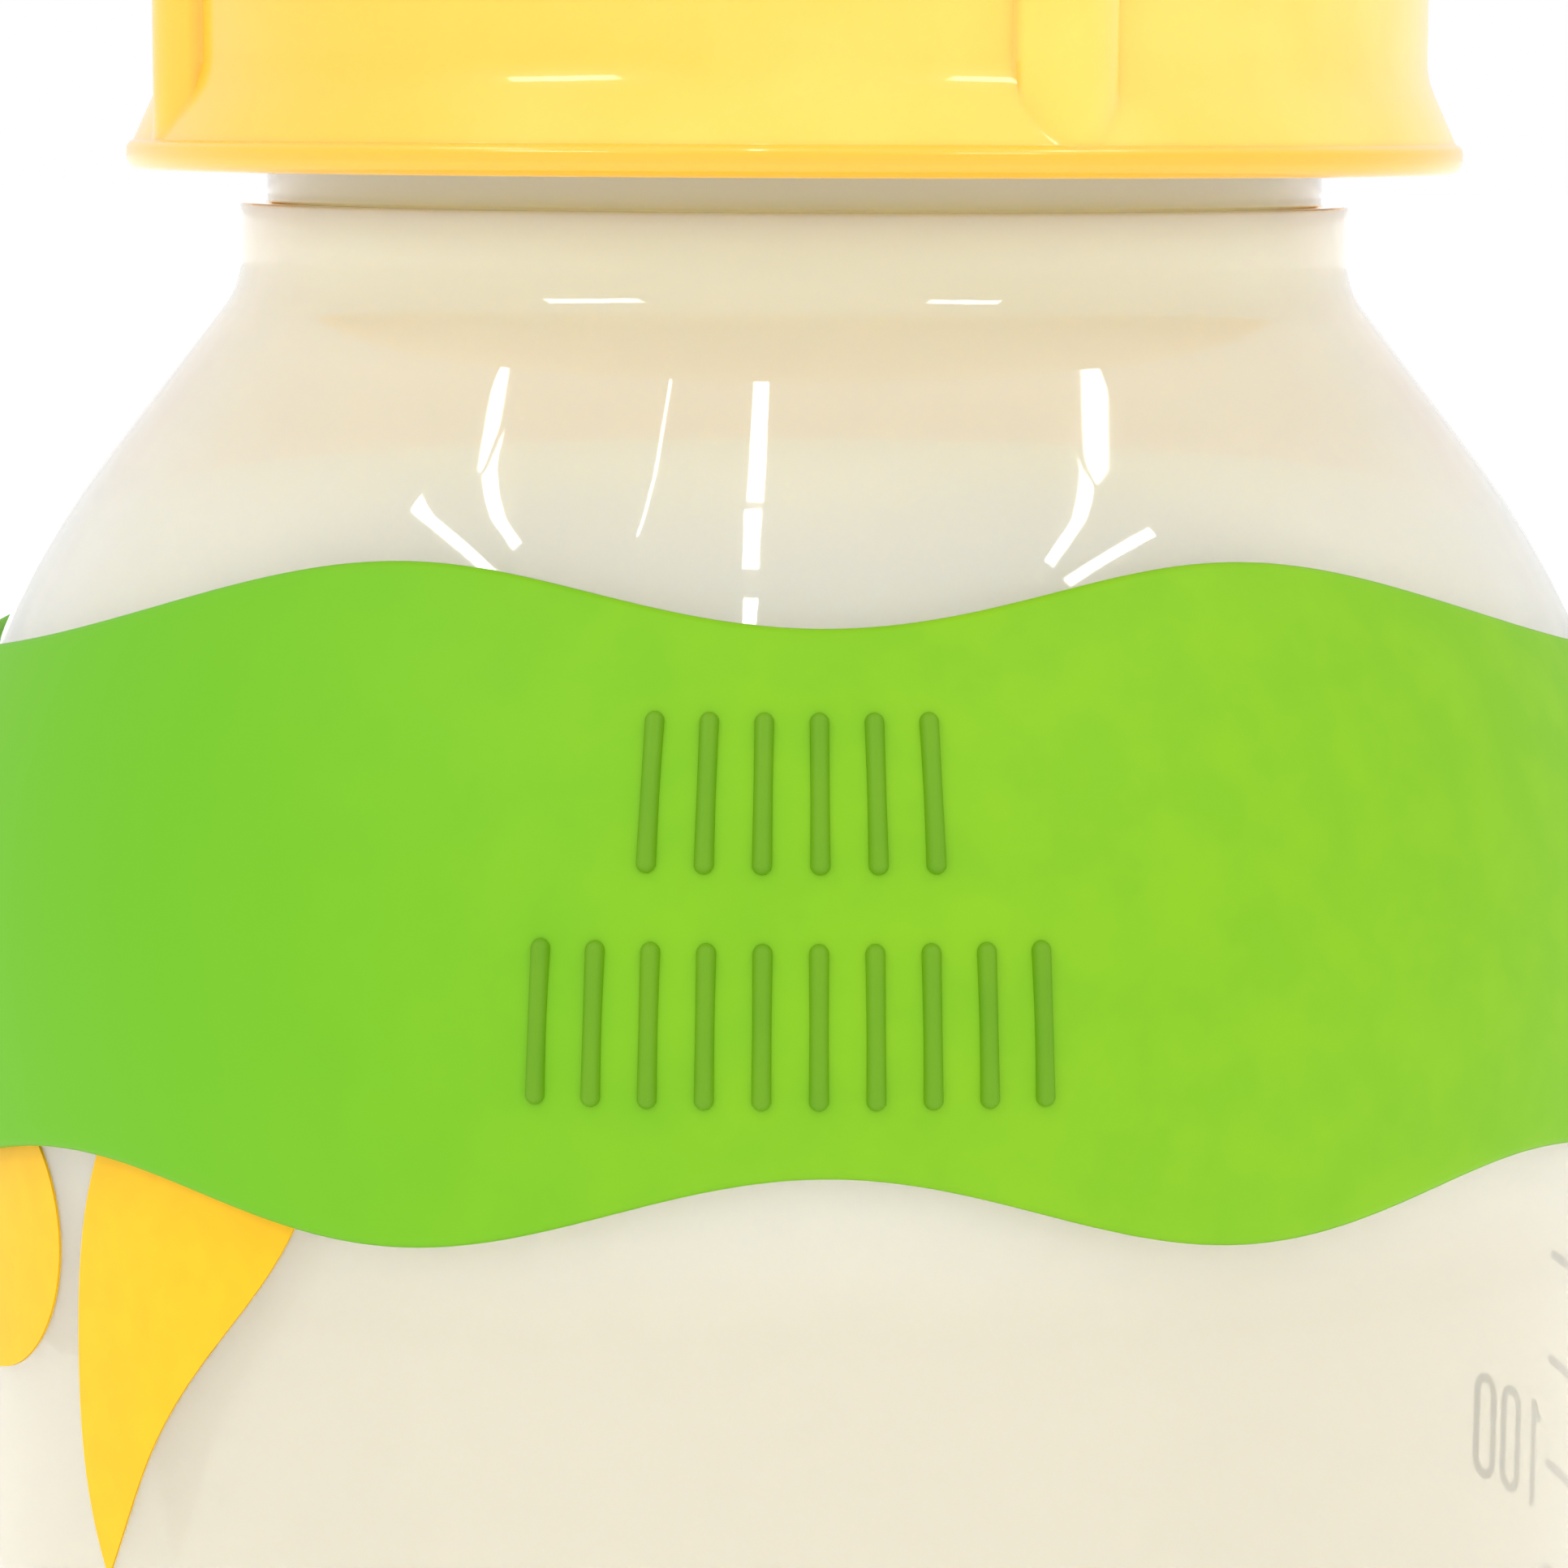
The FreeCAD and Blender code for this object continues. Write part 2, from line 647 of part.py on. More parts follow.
def write_piece(piece):
    shape = piece.Shape
    if shape.isNull() or not shape.isValid():
        raise RuntimeError(f"{piece.Label} has no valid shape")
    shape.exportStep(f"parts/{piece.Label}.step")
    box = shape.BoundBox
    print(f"{piece.Label}: {len(shape.Solids)} solids, {shape.Volume:.1f} mm3, z {box.ZMin:.2f} to {box.ZMax:.2f}")


fill_sheet()
pieces = [make_bottle(), make_ring(), make_disc(), make_teat(), make_hood(), make_sleeve(), make_bars(),
          make_petals(), make_scale()]
doc.recompute()
check_document()
os.makedirs("parts", exist_ok=True)
for piece in pieces:
    write_piece(piece)
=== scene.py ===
"""A small feeding bottle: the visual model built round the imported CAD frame."""
import math

import bmesh
import bpy
from mathutils import Matrix, Vector


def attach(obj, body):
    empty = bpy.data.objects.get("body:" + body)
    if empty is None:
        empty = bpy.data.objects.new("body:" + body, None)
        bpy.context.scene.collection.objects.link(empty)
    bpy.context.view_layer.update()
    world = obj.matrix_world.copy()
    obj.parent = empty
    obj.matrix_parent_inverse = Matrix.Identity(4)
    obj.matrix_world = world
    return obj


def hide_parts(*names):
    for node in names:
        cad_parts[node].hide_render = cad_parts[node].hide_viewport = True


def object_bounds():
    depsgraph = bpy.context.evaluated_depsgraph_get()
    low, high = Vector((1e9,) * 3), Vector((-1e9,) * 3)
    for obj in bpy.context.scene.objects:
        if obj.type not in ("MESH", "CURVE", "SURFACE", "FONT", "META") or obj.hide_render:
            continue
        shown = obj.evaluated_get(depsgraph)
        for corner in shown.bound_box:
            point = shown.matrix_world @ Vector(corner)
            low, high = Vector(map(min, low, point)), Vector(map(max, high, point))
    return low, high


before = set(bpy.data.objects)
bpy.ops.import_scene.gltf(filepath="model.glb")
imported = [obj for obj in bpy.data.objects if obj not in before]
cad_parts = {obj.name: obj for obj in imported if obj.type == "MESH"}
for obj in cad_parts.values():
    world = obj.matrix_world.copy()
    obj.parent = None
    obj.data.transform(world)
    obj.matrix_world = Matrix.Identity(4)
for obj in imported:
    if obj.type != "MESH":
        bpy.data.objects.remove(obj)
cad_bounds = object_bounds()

MM = 0.001
TURN = 2 * math.pi

# Bottle wall, in millimetres from the axis and from the base.
BODY_RADIUS = 30.0
WALL = 1.6
SHOULDER_START = 61.45
SHOULDER_ARC = 31.08
SHOULDER_ANGLE = math.radians(38)
NECK_RADIUS = 18.0
BORE_RADIUS = 16.0
BEAD_RADIUS = 18.92
BEAD_TOP = 89.1
RIM = 101.0

# Screw thread: two starts, 180 degrees apart, the first at +Y.
THREAD_STARTS = 2
THREAD_LEAD = 8.0
THREAD_TURNS = 0.7
THREAD_BOTTOM = 93.0
THREAD_RAMP = math.radians(14)

# Screw ring.
RING_BOTTOM = 90.2
RING_RADIUS = 21.45
RING_BORE = 19.35
RING_STEP = 101.9
RING_TOP = 105.7
RIB_COUNT = 4
RIB_ANGLE = math.radians(22.5)
RIB_HALF_WIDTH = 1.65
RIB_SIDE = 0.35
RIB_CROWN = 1.05
LIP_RADIUS = 22.7
THREAD_CREST = 1.1

# Sleeve: its edges are sums of cosines of whole multiples of the angle from the front.
SLEEVE_GAP = 0.2
SLEEVE_WALL = 0.79
SLEEVE_TURN = math.radians(2)
TOP_EDGE = {0: 76.62, 2: 1.99, 4: -0.88, 6: -0.52, 8: -0.14}
BOTTOM_EDGE = {0: 59.59, 2: 0.74, 6: 0.42, 8: 0.79}
BAR_WIDTH = 0.6
BAR_LENGTH = 4.7
BAR_PITCH = 1.65
BAR_HEIGHT = 0.3
BAR_ROWS = ((72.6, 6), (66.0, 10))

# Where the materials fade from one look to another, in metres.
CLEAR_FADE = (0.0560, 0.0620)
# Painted light: across this span the back of the shoulder turns amber, as if lit through the yellow ring.
AMBER_LIGHT_FADE = (0.0780, 0.0812)
NECK_FADE = (0.0820, 0.0870)
# Painted light: across this span the front wall warms towards the neck, as if lit through the yellow
# ring.
WALL_FADE = (0.060, 0.100)
BACK_FADE = (-0.008, 0.004)
# Painted shade: below this span the ring's lip takes a darker colour.
LIP_SHADE_FADE = (0.0909, 0.0914)
# Painted shade: across this span the -X side of the ring and the sleeve darkens.
LEFT_SHADE_FADE = (-0.024, 0.006)

# Studio, in metres. The ceiling tubes are given by their ends, in ceiling heights from the axis.
LIT_POINT = (0, -0.02, 0.082)
CEILING = 1.0
TUBE_RADIANCE = 25
TUBE_COLOUR = (1.0, 0.97, 0.88)
TUBES = (
    ("left_tube_back", (-0.672, -0.036), (-0.653, -0.094), 0.019),
    ("left_tube_front", (-0.645, -0.104), (-0.612, -0.315), 0.025),
    ("left_far_tube", (-0.817, -0.015), (-0.700, -0.376), 0.024),
    ("middle_tube_back", (-0.070, -0.318), (-0.078, -0.378), 0.034),
    ("middle_tube", (-0.082, -0.390), (-0.094, -0.545), 0.036),
    ("middle_tube_front", (-0.098, -0.638), (-0.107, -0.727), 0.034),
    ("right_tube_back", (0.703, -0.004), (0.633, -0.122), 0.020),
    ("right_tube_front", (0.622, -0.132), (0.582, -0.385), 0.025),
    ("right_far_tube", (0.795, -0.122), (0.647, -0.421), 0.024),
    ("thin_tube", (-0.272, -0.281), (-0.332, -0.401), 0.005),
)
BOX_WIDTH = 0.09
BOX_RADIANCE = 12
SOFT_BOXES = (
    ("left_box", (-0.695, -0.486, 0.62), (-0.462, -0.711, 0.62)),
    ("right_box", (0.411, -0.742, 0.62), (0.600, -0.600, 0.62)),
)


# ---------------------------------------------------------------- shapes

def rounded(corners, steps=10):
    """Points of a closed outline whose corners (r, z, radius) are rounded by tangent arcs."""
    points = []
    count = len(corners)
    for i, (r, z, radius) in enumerate(corners):
        here = Vector((r, z))
        if radius == 0:
            points.append(here)
            continue
        before = Vector(corners[i - 1][:2])
        after = Vector(corners[(i + 1) % count][:2])
        back = (before - here).normalized()
        ahead = (after - here).normalized()
        half = back.angle(ahead) / 2
        centre = here + (back + ahead).normalized() * (radius / math.sin(half))
        reach = radius / math.tan(half)
        first = here + back * reach - centre
        sweep = first.angle_signed(here + ahead * reach - centre)
        for step in range(steps + 1):
            turned = first.copy()
            turned.rotate(Matrix.Rotation(-sweep * step / steps, 2))
            points.append(centre + turned)
    return points


def subdivided(points, longest):
    """The same closed outline with no side longer than longest."""
    result = []
    for i, here in enumerate(points):
        after = points[(i + 1) % len(points)]
        pieces = max(1, math.ceil((after - here).length / longest))
        for piece in range(pieces):
            result.append(here.lerp(after, piece / pieces))
    return result


def even_angles(count):
    return [TURN * i / count for i in range(count)]


def at(angle, radius, height):
    """A point in metres, at an angle from the front (-Y) towards +X."""
    return Vector((radius * math.sin(angle), -radius * math.cos(angle), height)) * MM


def finish_mesh(name, mesh_data, material, sharp=math.radians(32)):
    """Make an object of a bmesh, with its normals outward and its sharp edges marked."""
    bmesh.ops.remove_doubles(mesh_data, verts=mesh_data.verts, dist=1e-7)
    bmesh.ops.recalc_face_normals(mesh_data, faces=mesh_data.faces)
    mesh = bpy.data.meshes.new(name)
    mesh_data.to_mesh(mesh)
    mesh_data.free()
    mesh.shade_smooth()
    mesh.set_sharp_from_angle(angle=sharp)
    piece = bpy.data.objects.new(name, mesh)
    bpy.context.scene.collection.objects.link(piece)
    mesh.materials.append(material)
    return piece


def grid_mesh(rows, close_rows=True):
    """A bmesh of a grid of points: each row is a closed loop, and the rows join round if close_rows."""
    made = bmesh.new()
    verts = [[made.verts.new(point) for point in row] for row in rows]
    count = len(rows)
    for i in range(count if close_rows else count - 1):
        here, after = verts[i], verts[(i + 1) % count]
        for j in range(len(here)):
            k = (j + 1) % len(here)
            made.faces.new((here[j], after[j], after[k], here[k]))
    return made


def lathe(name, outline, material, angles=None, radius_at=None):
    """Turn an outline about the axis. radius_at(angle, r, z) may move a point in or out."""
    angles = angles or even_angles(240)
    rows = []
    for angle in angles:
        row = []
        for point in outline:
            radius = radius_at(angle, point.x, point.y) if radius_at else point.x
            row.append(at(angle, radius, point.y))
        rows.append(row)
    made = grid_mesh(rows)
    bmesh.ops.remove_doubles(made, verts=made.verts, dist=1e-7)
    bmesh.ops.dissolve_degenerate(made, edges=made.edges, dist=1e-7)
    return finish_mesh(name, made, material)


def smooth(value):
    value = min(1.0, max(0.0, value))
    return value * value * (3 - 2 * value)


def ridge(angle, height, first_height, half_base, half_tip):
    """How far up its flank a thread ridge is here, from 0 on the wall to 1 on the crest."""
    best = 0.0
    length = THREAD_TURNS * TURN
    for start in range(THREAD_STARTS):
        # +Y, where the first ridge begins, is half a turn from the front.
        travel = (angle - TURN / 2 - TURN * start / THREAD_STARTS) % TURN
        if travel > length:
            continue
        off = abs(height - first_height - THREAD_LEAD * travel / TURN)
        flank = (half_base - off) / (half_base - half_tip)
        ends = smooth(travel / THREAD_RAMP) * smooth((length - travel) / THREAD_RAMP)
        best = max(best, min(1.0, max(0.0, flank)) * ends)
    return best


# ---------------------------------------------------------------- pieces

def make_bottle(material):
    def radius_at(angle, radius, height):
        if abs(radius - NECK_RADIUS) < 0.01 and BEAD_TOP + 1 < height < RIM - 0.5:
            return radius + THREAD_CREST * ridge(angle, height, THREAD_BOTTOM, 1.15, 0.6)
        return radius

    cone = math.tan(SHOULDER_ANGLE)
    centre_r = BODY_RADIUS - SHOULDER_ARC

    def cone_height(radius, offset):
        """The height where the cone, set in by offset, has this radius."""
        arc = SHOULDER_ARC - offset
        tangent_r = centre_r + arc * math.cos(SHOULDER_ANGLE)
        tangent_z = SHOULDER_START + arc * math.sin(SHOULDER_ANGLE)
        return tangent_z + (tangent_r - radius) / cone

    inner = BODY_RADIUS - WALL
    corners = [
        (0, 1.5, 0), (20, 1.5, 1.2), (22, 0, 0.8), (BODY_RADIUS, 0, 4),
        (BODY_RADIUS, cone_height(BODY_RADIUS, 0), SHOULDER_ARC),
        (BEAD_RADIUS, cone_height(BEAD_RADIUS, 0), 2.7), (BEAD_RADIUS, BEAD_TOP, 0.12),
        (NECK_RADIUS, BEAD_TOP, 0.12), (NECK_RADIUS, RIM, 0.3), (BORE_RADIUS, RIM, 0.3),
        (BORE_RADIUS, cone_height(BORE_RADIUS, WALL), 6),
        (inner, cone_height(inner, WALL), SHOULDER_ARC - WALL), (inner, 3.3, 4), (0, 3.3, 0),
    ]
    outline = subdivided(rounded(corners, 14), 1.2)
    fine = []
    for i, here in enumerate(outline):
        after = outline[(i + 1) % len(outline)]
        fine.append(here)
        # The neck's wall needs short sides, because the thread is raised on it.
        on_neck = abs(here.x - NECK_RADIUS) < 0.01 and abs(after.x - NECK_RADIUS) < 0.01
        if on_neck:
            fine += [here.lerp(after, part / 5) for part in range(1, 5)]
    return lathe("bottle", fine, material, even_angles(288), radius_at)


def rib_angles():
    """Angles round the ring, close together across each rib and its sides."""
    near = 2.6 / RING_RADIUS
    near_steps = 56
    plain_steps = 60
    span = TURN / RIB_COUNT - 2 * near
    angles = []
    for rib in range(RIB_COUNT):
        middle = RIB_ANGLE + TURN * rib / RIB_COUNT
        angles += [middle - near + 2 * near * i / near_steps for i in range(near_steps)]
        angles += [middle + near + span * i / plain_steps for i in range(plain_steps)]
    return angles


def rib_radius(angle):
    """The radius of a rib's crowned face at this angle, or 0 away from the ribs."""
    step = TURN / RIB_COUNT
    off = (angle - RIB_ANGLE + step / 2) % step - step / 2
    across = abs(off) * RING_RADIUS / RIB_HALF_WIDTH
    crown = RIB_SIDE + (RIB_CROWN - RIB_SIDE) * (1 - min(1.0, across) ** 2)
    fall = smooth((1.1 - across) / 0.16)
    return RING_RADIUS + crown * fall - 0.25 * (1 - fall)


def blend_max(one, other, soft=0.12):
    """The larger of two radii, with a small fillet where they cross."""
    mix = max(0.0, soft - abs(one - other)) / soft
    return max(one, other) + mix * mix * soft * 0.25


def make_ring(material):
    outer_end = RING_STEP - 0.35

    def radius_at(angle, radius, height):
        if radius > RING_RADIUS - 0.01 and height < outer_end and height > RING_BOTTOM + 0.5:
            rib = rib_radius(angle) - 1.2 * smooth((height - outer_end + 0.6) / 0.6)
            return blend_max(radius, rib)
        if abs(radius - RING_BORE) < 0.01 and RING_BOTTOM + 0.6 < height < 103:
            depth = ridge(angle, height, THREAD_BOTTOM + THREAD_LEAD / 4, 1.05, 0.5)
            return radius - THREAD_CREST * depth
        return radius

    corners = [
        (RING_BORE, RING_BOTTOM, 0.25), (LIP_RADIUS, RING_BOTTOM, 0.45), (LIP_RADIUS, 91.05, 0.3),
        (LIP_RADIUS - 0.25, 91.2, 0.1), (RING_RADIUS, 93.4, 3), (RING_RADIUS, RING_STEP, 0.3),
        (20.2, RING_STEP, 0.15), (20.2, RING_TOP, 0.6),
        (15, RING_TOP, 0.3), (15, RING_TOP - 1.8, 0.2), (RING_BORE, RING_TOP - 1.8, 0.5),
    ]
    outline = subdivided(rounded(corners, 9), 0.3)
    return lathe("ring", outline, material, rib_angles(), radius_at)


def make_teat(material):
    neck = 14.8
    skin = 1.6
    tip = 141
    lock = RING_TOP + 0.05
    corners = [
        (neck - skin, 102.1, 0.2), (17.2, 102.1, 0.3), (17.2, 103.85, 0.3), (neck, 103.85, 0.2),
        (neck, lock, 0.15), (15.5, lock, 0.3), (15.5, lock + 1.4, 0.5), (14.2, 119, 6), (5.8, 124.5, 6),
        (5.2, tip, 4.6), (0.25, tip, 0), (0.25, tip - skin, 0), (5.2 - skin, tip - skin, 3),
        (5.8 - skin, 124.5 - skin / 2, 4.4), (14.2 - skin, 119 - skin, 4.4), (neck - skin, lock + 1.4, 2),
    ]
    return lathe("teat_soft", subdivided(rounded(corners, 12), 1.5), material, even_angles(160))


def make_hood(material):
    corners = [
        (20.4, 101.95, 0.2), (21.45, 101.95, 0.3), (19.6, 147.49, 11), (0, 147.49, 0), (0, 146.4, 0),
        (18.5, 146.4, 9.9),
    ]
    return lathe("hood_clear", subdivided(rounded(corners, 20), 2.5), material, even_angles(200))


def wave(edge, angle):
    """The height of a wavy edge at an angle from the front."""
    return sum(size * math.cos(times * (angle - SLEEVE_TURN)) for times, size in edge.items())


def skin_point(angle, along, offset):
    """A point off the bottle's outer wall; along is the distance up the wall from the base."""
    if along <= SHOULDER_START:
        return at(angle, BODY_RADIUS + offset, along)
    lean = (along - SHOULDER_START) / SHOULDER_ARC
    reach = SHOULDER_ARC + offset
    radius = BODY_RADIUS - SHOULDER_ARC + reach * math.cos(lean)
    return at(angle, radius, SHOULDER_START + reach * math.sin(lean))


def along_wall(height, offset):
    """The distance up the wall at which a skin offset from it reaches a height."""
    if height <= SHOULDER_START:
        return height
    return SHOULDER_START + SHOULDER_ARC * math.asin((height - SHOULDER_START) / (SHOULDER_ARC + offset))


def radius_along(along, offset):
    """The radius of a skin offset from the wall, at a distance up the curved part of it."""
    return BODY_RADIUS - SHOULDER_ARC + (SHOULDER_ARC + offset) * math.cos(
        (along - SHOULDER_START) / SHOULDER_ARC)


def make_sleeve(material):
    """A band of even thickness with round edges, between its two wavy edges."""
    half = SLEEVE_WALL / 2
    middle = SLEEVE_GAP + half
    edge_round = 0.3
    cap_steps = 6
    rise_steps = 34
    rows = []
    for angle in even_angles(420):
        low = along_wall(wave(BOTTOM_EDGE, angle), middle)
        high = along_wall(wave(TOP_EDGE, angle), middle)
        row = []
        for side, start, end in ((half, low, high), (-half, high, low)):
            way = math.copysign(1, end - start)
            first, last = start + way * edge_round, end - way * edge_round
            for step in range(rise_steps + 1):
                row.append((first + (last - first) * step / rise_steps, side))
            for step in range(1, cap_steps):
                part = math.pi * step / cap_steps
                flat = half - edge_round
                across = math.copysign(flat, math.cos(part)) + edge_round * math.cos(part)
                row.append((last + way * edge_round * math.sin(part), math.copysign(1, side) * across))
        rows.append([skin_point(angle, along, middle + across) for along, across in row])
    return finish_mesh("sleeve_soft", grid_mesh(rows), material, math.radians(60))


def bar_rings(middle_height, turn):
    """Loops of a round-ended bar on the sleeve, from its foot up over its rounded edge to its top."""
    base = SLEEVE_GAP + SLEEVE_WALL
    centre = along_wall(middle_height, base)
    radius_here = radius_along(centre, base)
    width = BAR_WIDTH / 2
    straight = BAR_LENGTH / 2 - width
    soft = width * 0.85
    loops = []
    edge_steps = 5
    sides = 28
    for step in range(edge_steps + 1):
        part = math.radians(90) * step / edge_steps
        inset = soft * (1 - math.cos(part))
        lift = (BAR_HEIGHT + 0.05) * math.sin(part) - 0.05
        loop = []
        for i in range(sides):
            way = TURN * i / sides
            across = (width - inset) * math.cos(way)
            up = (width - inset) * math.sin(way) + math.copysign(straight, math.sin(way))
            loop.append(skin_point(turn + across / radius_here, centre + up, base + lift))
        loops.append(loop)
    return loops


def make_bars(material):
    made = bmesh.new()
    base = SLEEVE_GAP + SLEEVE_WALL
    for height, count in BAR_ROWS:
        radius = radius_along(along_wall(height, base), base)
        for bar in range(count):
            loops = bar_rings(height, (bar - (count - 1) / 2) * BAR_PITCH / radius)
            verts = [[made.verts.new(point) for point in loop] for loop in loops]
            for low, high in zip(verts, verts[1:]):
                for i in range(len(low)):
                    j = (i + 1) % len(low)
                    made.faces.new((low[i], low[j], high[j], high[i]))
            made.faces.new(verts[-1])
            made.faces.new(tuple(reversed(verts[0])))
    return finish_mesh("sleeve_bars", made, material, math.radians(60))


# ---------------------------------------------------------------- materials

def new_material(name):
    material = bpy.data.materials.new(name)
    material.use_nodes = True
    nodes = material.node_tree.nodes
    shader = next(node for node in nodes if node.type == "BSDF_PRINCIPLED")
    return material, nodes, material.node_tree.links, shader


def srgb(red, green, blue):
    """A colour given in screen values from 0 to 255, as linear light."""
    def linear(value):
        value /= 255
        return value / 12.92 if value <= 0.04045 else ((value + 0.055) / 1.055) ** 2.4
    return (linear(red), linear(green), linear(blue), 1)


def noise(nodes, links, scale, detail=4, stretch=None):
    """Noise in object space; scale is in cells per metre."""
    coords = nodes.new("ShaderNodeTexCoord")
    texture = nodes.new("ShaderNodeTexNoise")
    texture.inputs["Scale"].default_value = scale
    texture.inputs["Detail"].default_value = detail
    source = coords.outputs["Object"]
    if stretch:
        mapping = nodes.new("ShaderNodeMapping")
        mapping.inputs["Scale"].default_value = stretch
        links.new(source, mapping.inputs["Vector"])
        source = mapping.outputs["Vector"]
    links.new(source, texture.inputs["Vector"])
    return texture.outputs["Fac"]


def ramp(nodes, links, source, stops):
    """A colour ramp; stops are (position, colour)."""
    node = nodes.new("ShaderNodeValToRGB")
    elements = node.color_ramp.elements
    while len(elements) < len(stops):
        elements.new(1)
    for element, (position, colour) in zip(elements, stops):
        element.position = position
        element.color = colour
    links.new(source, node.inputs["Fac"])
    return node.outputs["Color"]


def bump(nodes, links, shader, source, distance, strength=1.0):
    node = nodes.new("ShaderNodeBump")
    node.inputs["Distance"].default_value = distance
    node.inputs["Strength"].default_value = strength
    links.new(source, node.inputs["Height"])
    links.new(node.outputs["Normal"], shader.inputs["Normal"])


def faded(nodes, links, axis, low, high):
    """0 below low and 1 above high along an object axis, in metres, with soft ends."""
    coords = nodes.new("ShaderNodeTexCoord")
    split = nodes.new("ShaderNodeSeparateXYZ")
    scale = nodes.new("ShaderNodeMapRange")
    scale.interpolation_type = "SMOOTHSTEP"
    scale.inputs["From Min"].default_value = low
    scale.inputs["From Max"].default_value = high
    links.new(coords.outputs["Object"], split.inputs["Vector"])
    links.new(split.outputs[axis], scale.inputs["Value"])
    return scale.outputs["Result"]


def mixed(nodes, links, factor, one, other):
    """A colour between two others, each a colour or a socket."""
    node = nodes.new("ShaderNodeMix")
    node.data_type = "RGBA"
    links.new(factor, node.inputs["Factor"])
    for socket, value in ((node.inputs[6], one), (node.inputs[7], other)):
        if isinstance(value, tuple):
            socket.default_value = value
        else:
            links.new(value, socket)
    return node.outputs[2]


def blended(nodes, links, factor, one, other):
    """A value between two others, each a number or a socket."""
    node = nodes.new("ShaderNodeMix")
    links.new(factor, node.inputs["Factor"])
    for socket, value in ((node.inputs[2], one), (node.inputs[3], other)):
        if isinstance(value, float):
            socket.default_value = value
        else:
            links.new(value, socket)
    return node.outputs[0]


def plastic(name, dark, light, grain, roughness, bump_depth=2e-6, coat=0.0, glow=0.0, shine=0.5,
            left_shade=None, lip_shade=None):
    """Opaque plastic, silicone or ink: a slight mottle of two close colours and a fine skin.

    The left colour is a painted shade that the -X side fades to, and the lip colour a painted shade under
    the ring's lip."""
    material, nodes, links, shader = new_material(name)
    colour = ramp(nodes, links, noise(nodes, links, grain), [(0.35, dark), (0.65, light)])
    # Painted shade: the -X side fades to the darker left colour.
    if left_shade:
        colour = mixed(nodes, links, faded(nodes, links, "X", *LEFT_SHADE_FADE), left_shade, colour)
    # Painted shade: the underside of the ring's lip takes the darker lip colour.
    if lip_shade:
        colour = mixed(nodes, links, faded(nodes, links, "Z", *LIP_SHADE_FADE), lip_shade, colour)
    links.new(colour, shader.inputs["Base Color"])
    shader.inputs["Roughness"].default_value = roughness
    shader.inputs["Specular IOR Level"].default_value = shine
    shader.inputs["Coat Weight"].default_value = coat
    shader.inputs["Coat Roughness"].default_value = 0.05
    shader.inputs["Subsurface Weight"].default_value = glow
    shader.inputs["Subsurface Radius"].default_value = (1.0, 0.7, 0.25)
    shader.inputs["Subsurface Scale"].default_value = 0.0015
    bump(nodes, links, shader, noise(nodes, links, grain * 6), bump_depth)
    return material


def bottle_material():
    """Milky translucent plastic, with a painted amber light from the yellow ring on the back of the
    shoulder.

    It is clearest low down, milkier on the shoulder and the neck, and milkiest on the shoulder's back.
    Its colour warms towards the neck, a painted warm light from the yellow ring, and is darker low on the
    back, a painted shade."""
    material, nodes, links, shader = new_material("bottle_plastic")
    # Painted light: the front wall's colour warms towards the neck, as if lit through the yellow ring.
    wall = ramp(nodes, links, faded(nodes, links, "Z", *WALL_FADE), [
        (0.0, srgb(250, 246, 232)), (0.45, srgb(252, 246, 230)), (0.72, srgb(254, 243, 216)),
        (1.0, srgb(255, 246, 212))])
    # Painted light: the back of the shoulder turns amber above a height, as if lit through the yellow
    # ring, deepest at its lower edge.
    back = ramp(nodes, links, faded(nodes, links, "Z", *AMBER_LIGHT_FADE), [
        (0.0, srgb(238, 237, 222)), (0.40, srgb(240, 234, 216)), (0.50, srgb(255, 206, 138)),
        (1.0, srgb(255, 212, 156))])
    low_share = faded(nodes, links, "Z", *CLEAR_FADE)
    # Painted shade: low on the back, below the clear fade, the colour is darker.
    back = mixed(nodes, links, low_share, srgb(216, 210, 196), back)
    back_share = faded(nodes, links, "Y", *BACK_FADE)
    links.new(mixed(nodes, links, back_share, wall, back), shader.inputs["Base Color"])
    upper_clear = blended(nodes, links, faded(nodes, links, "Z", *NECK_FADE), 0.56, 0.3)
    front_clear = blended(nodes, links, low_share, 0.8, upper_clear)
    back_clear = blended(nodes, links, low_share, 0.75, 0.2)
    clear = blended(nodes, links, back_share, front_clear, back_clear)
    links.new(clear, shader.inputs["Transmission Weight"])
    shader.inputs["Subsurface Weight"].default_value = 1.0
    shader.inputs["Subsurface Radius"].default_value = (1.0, 0.9, 0.7)
    shader.inputs["Subsurface Scale"].default_value = 0.004
    shader.inputs["IOR"].default_value = 1.07
    shader.inputs["Roughness"].default_value = 0.04
    shader.inputs["Coat Weight"].default_value = 1.0
    shader.inputs["Coat Roughness"].default_value = 0.03
    bump(nodes, links, shader, noise(nodes, links, 260, 2), 4e-6)
    return material


def clear_material(name, colour, roughness, transmission, ior):
    """Clear or translucent plastic whose roughness varies a little."""
    material, nodes, links, shader = new_material(name)
    shader.inputs["Base Color"].default_value = colour
    shader.inputs["Transmission Weight"].default_value = transmission
    shader.inputs["IOR"].default_value = ior
    shader.inputs["Coat Weight"].default_value = 0.5
    shader.inputs["Coat Roughness"].default_value = 0.05
    vary = nodes.new("ShaderNodeMapRange")
    vary.inputs["To Min"].default_value = roughness * 0.7
    vary.inputs["To Max"].default_value = roughness * 1.4
    links.new(noise(nodes, links, 300), vary.inputs["Value"])
    links.new(vary.outputs["Result"], shader.inputs["Roughness"])
    bump(nodes, links, shader, noise(nodes, links, 180, 2), 6e-6)
    return material


# ---------------------------------------------------------------- stage

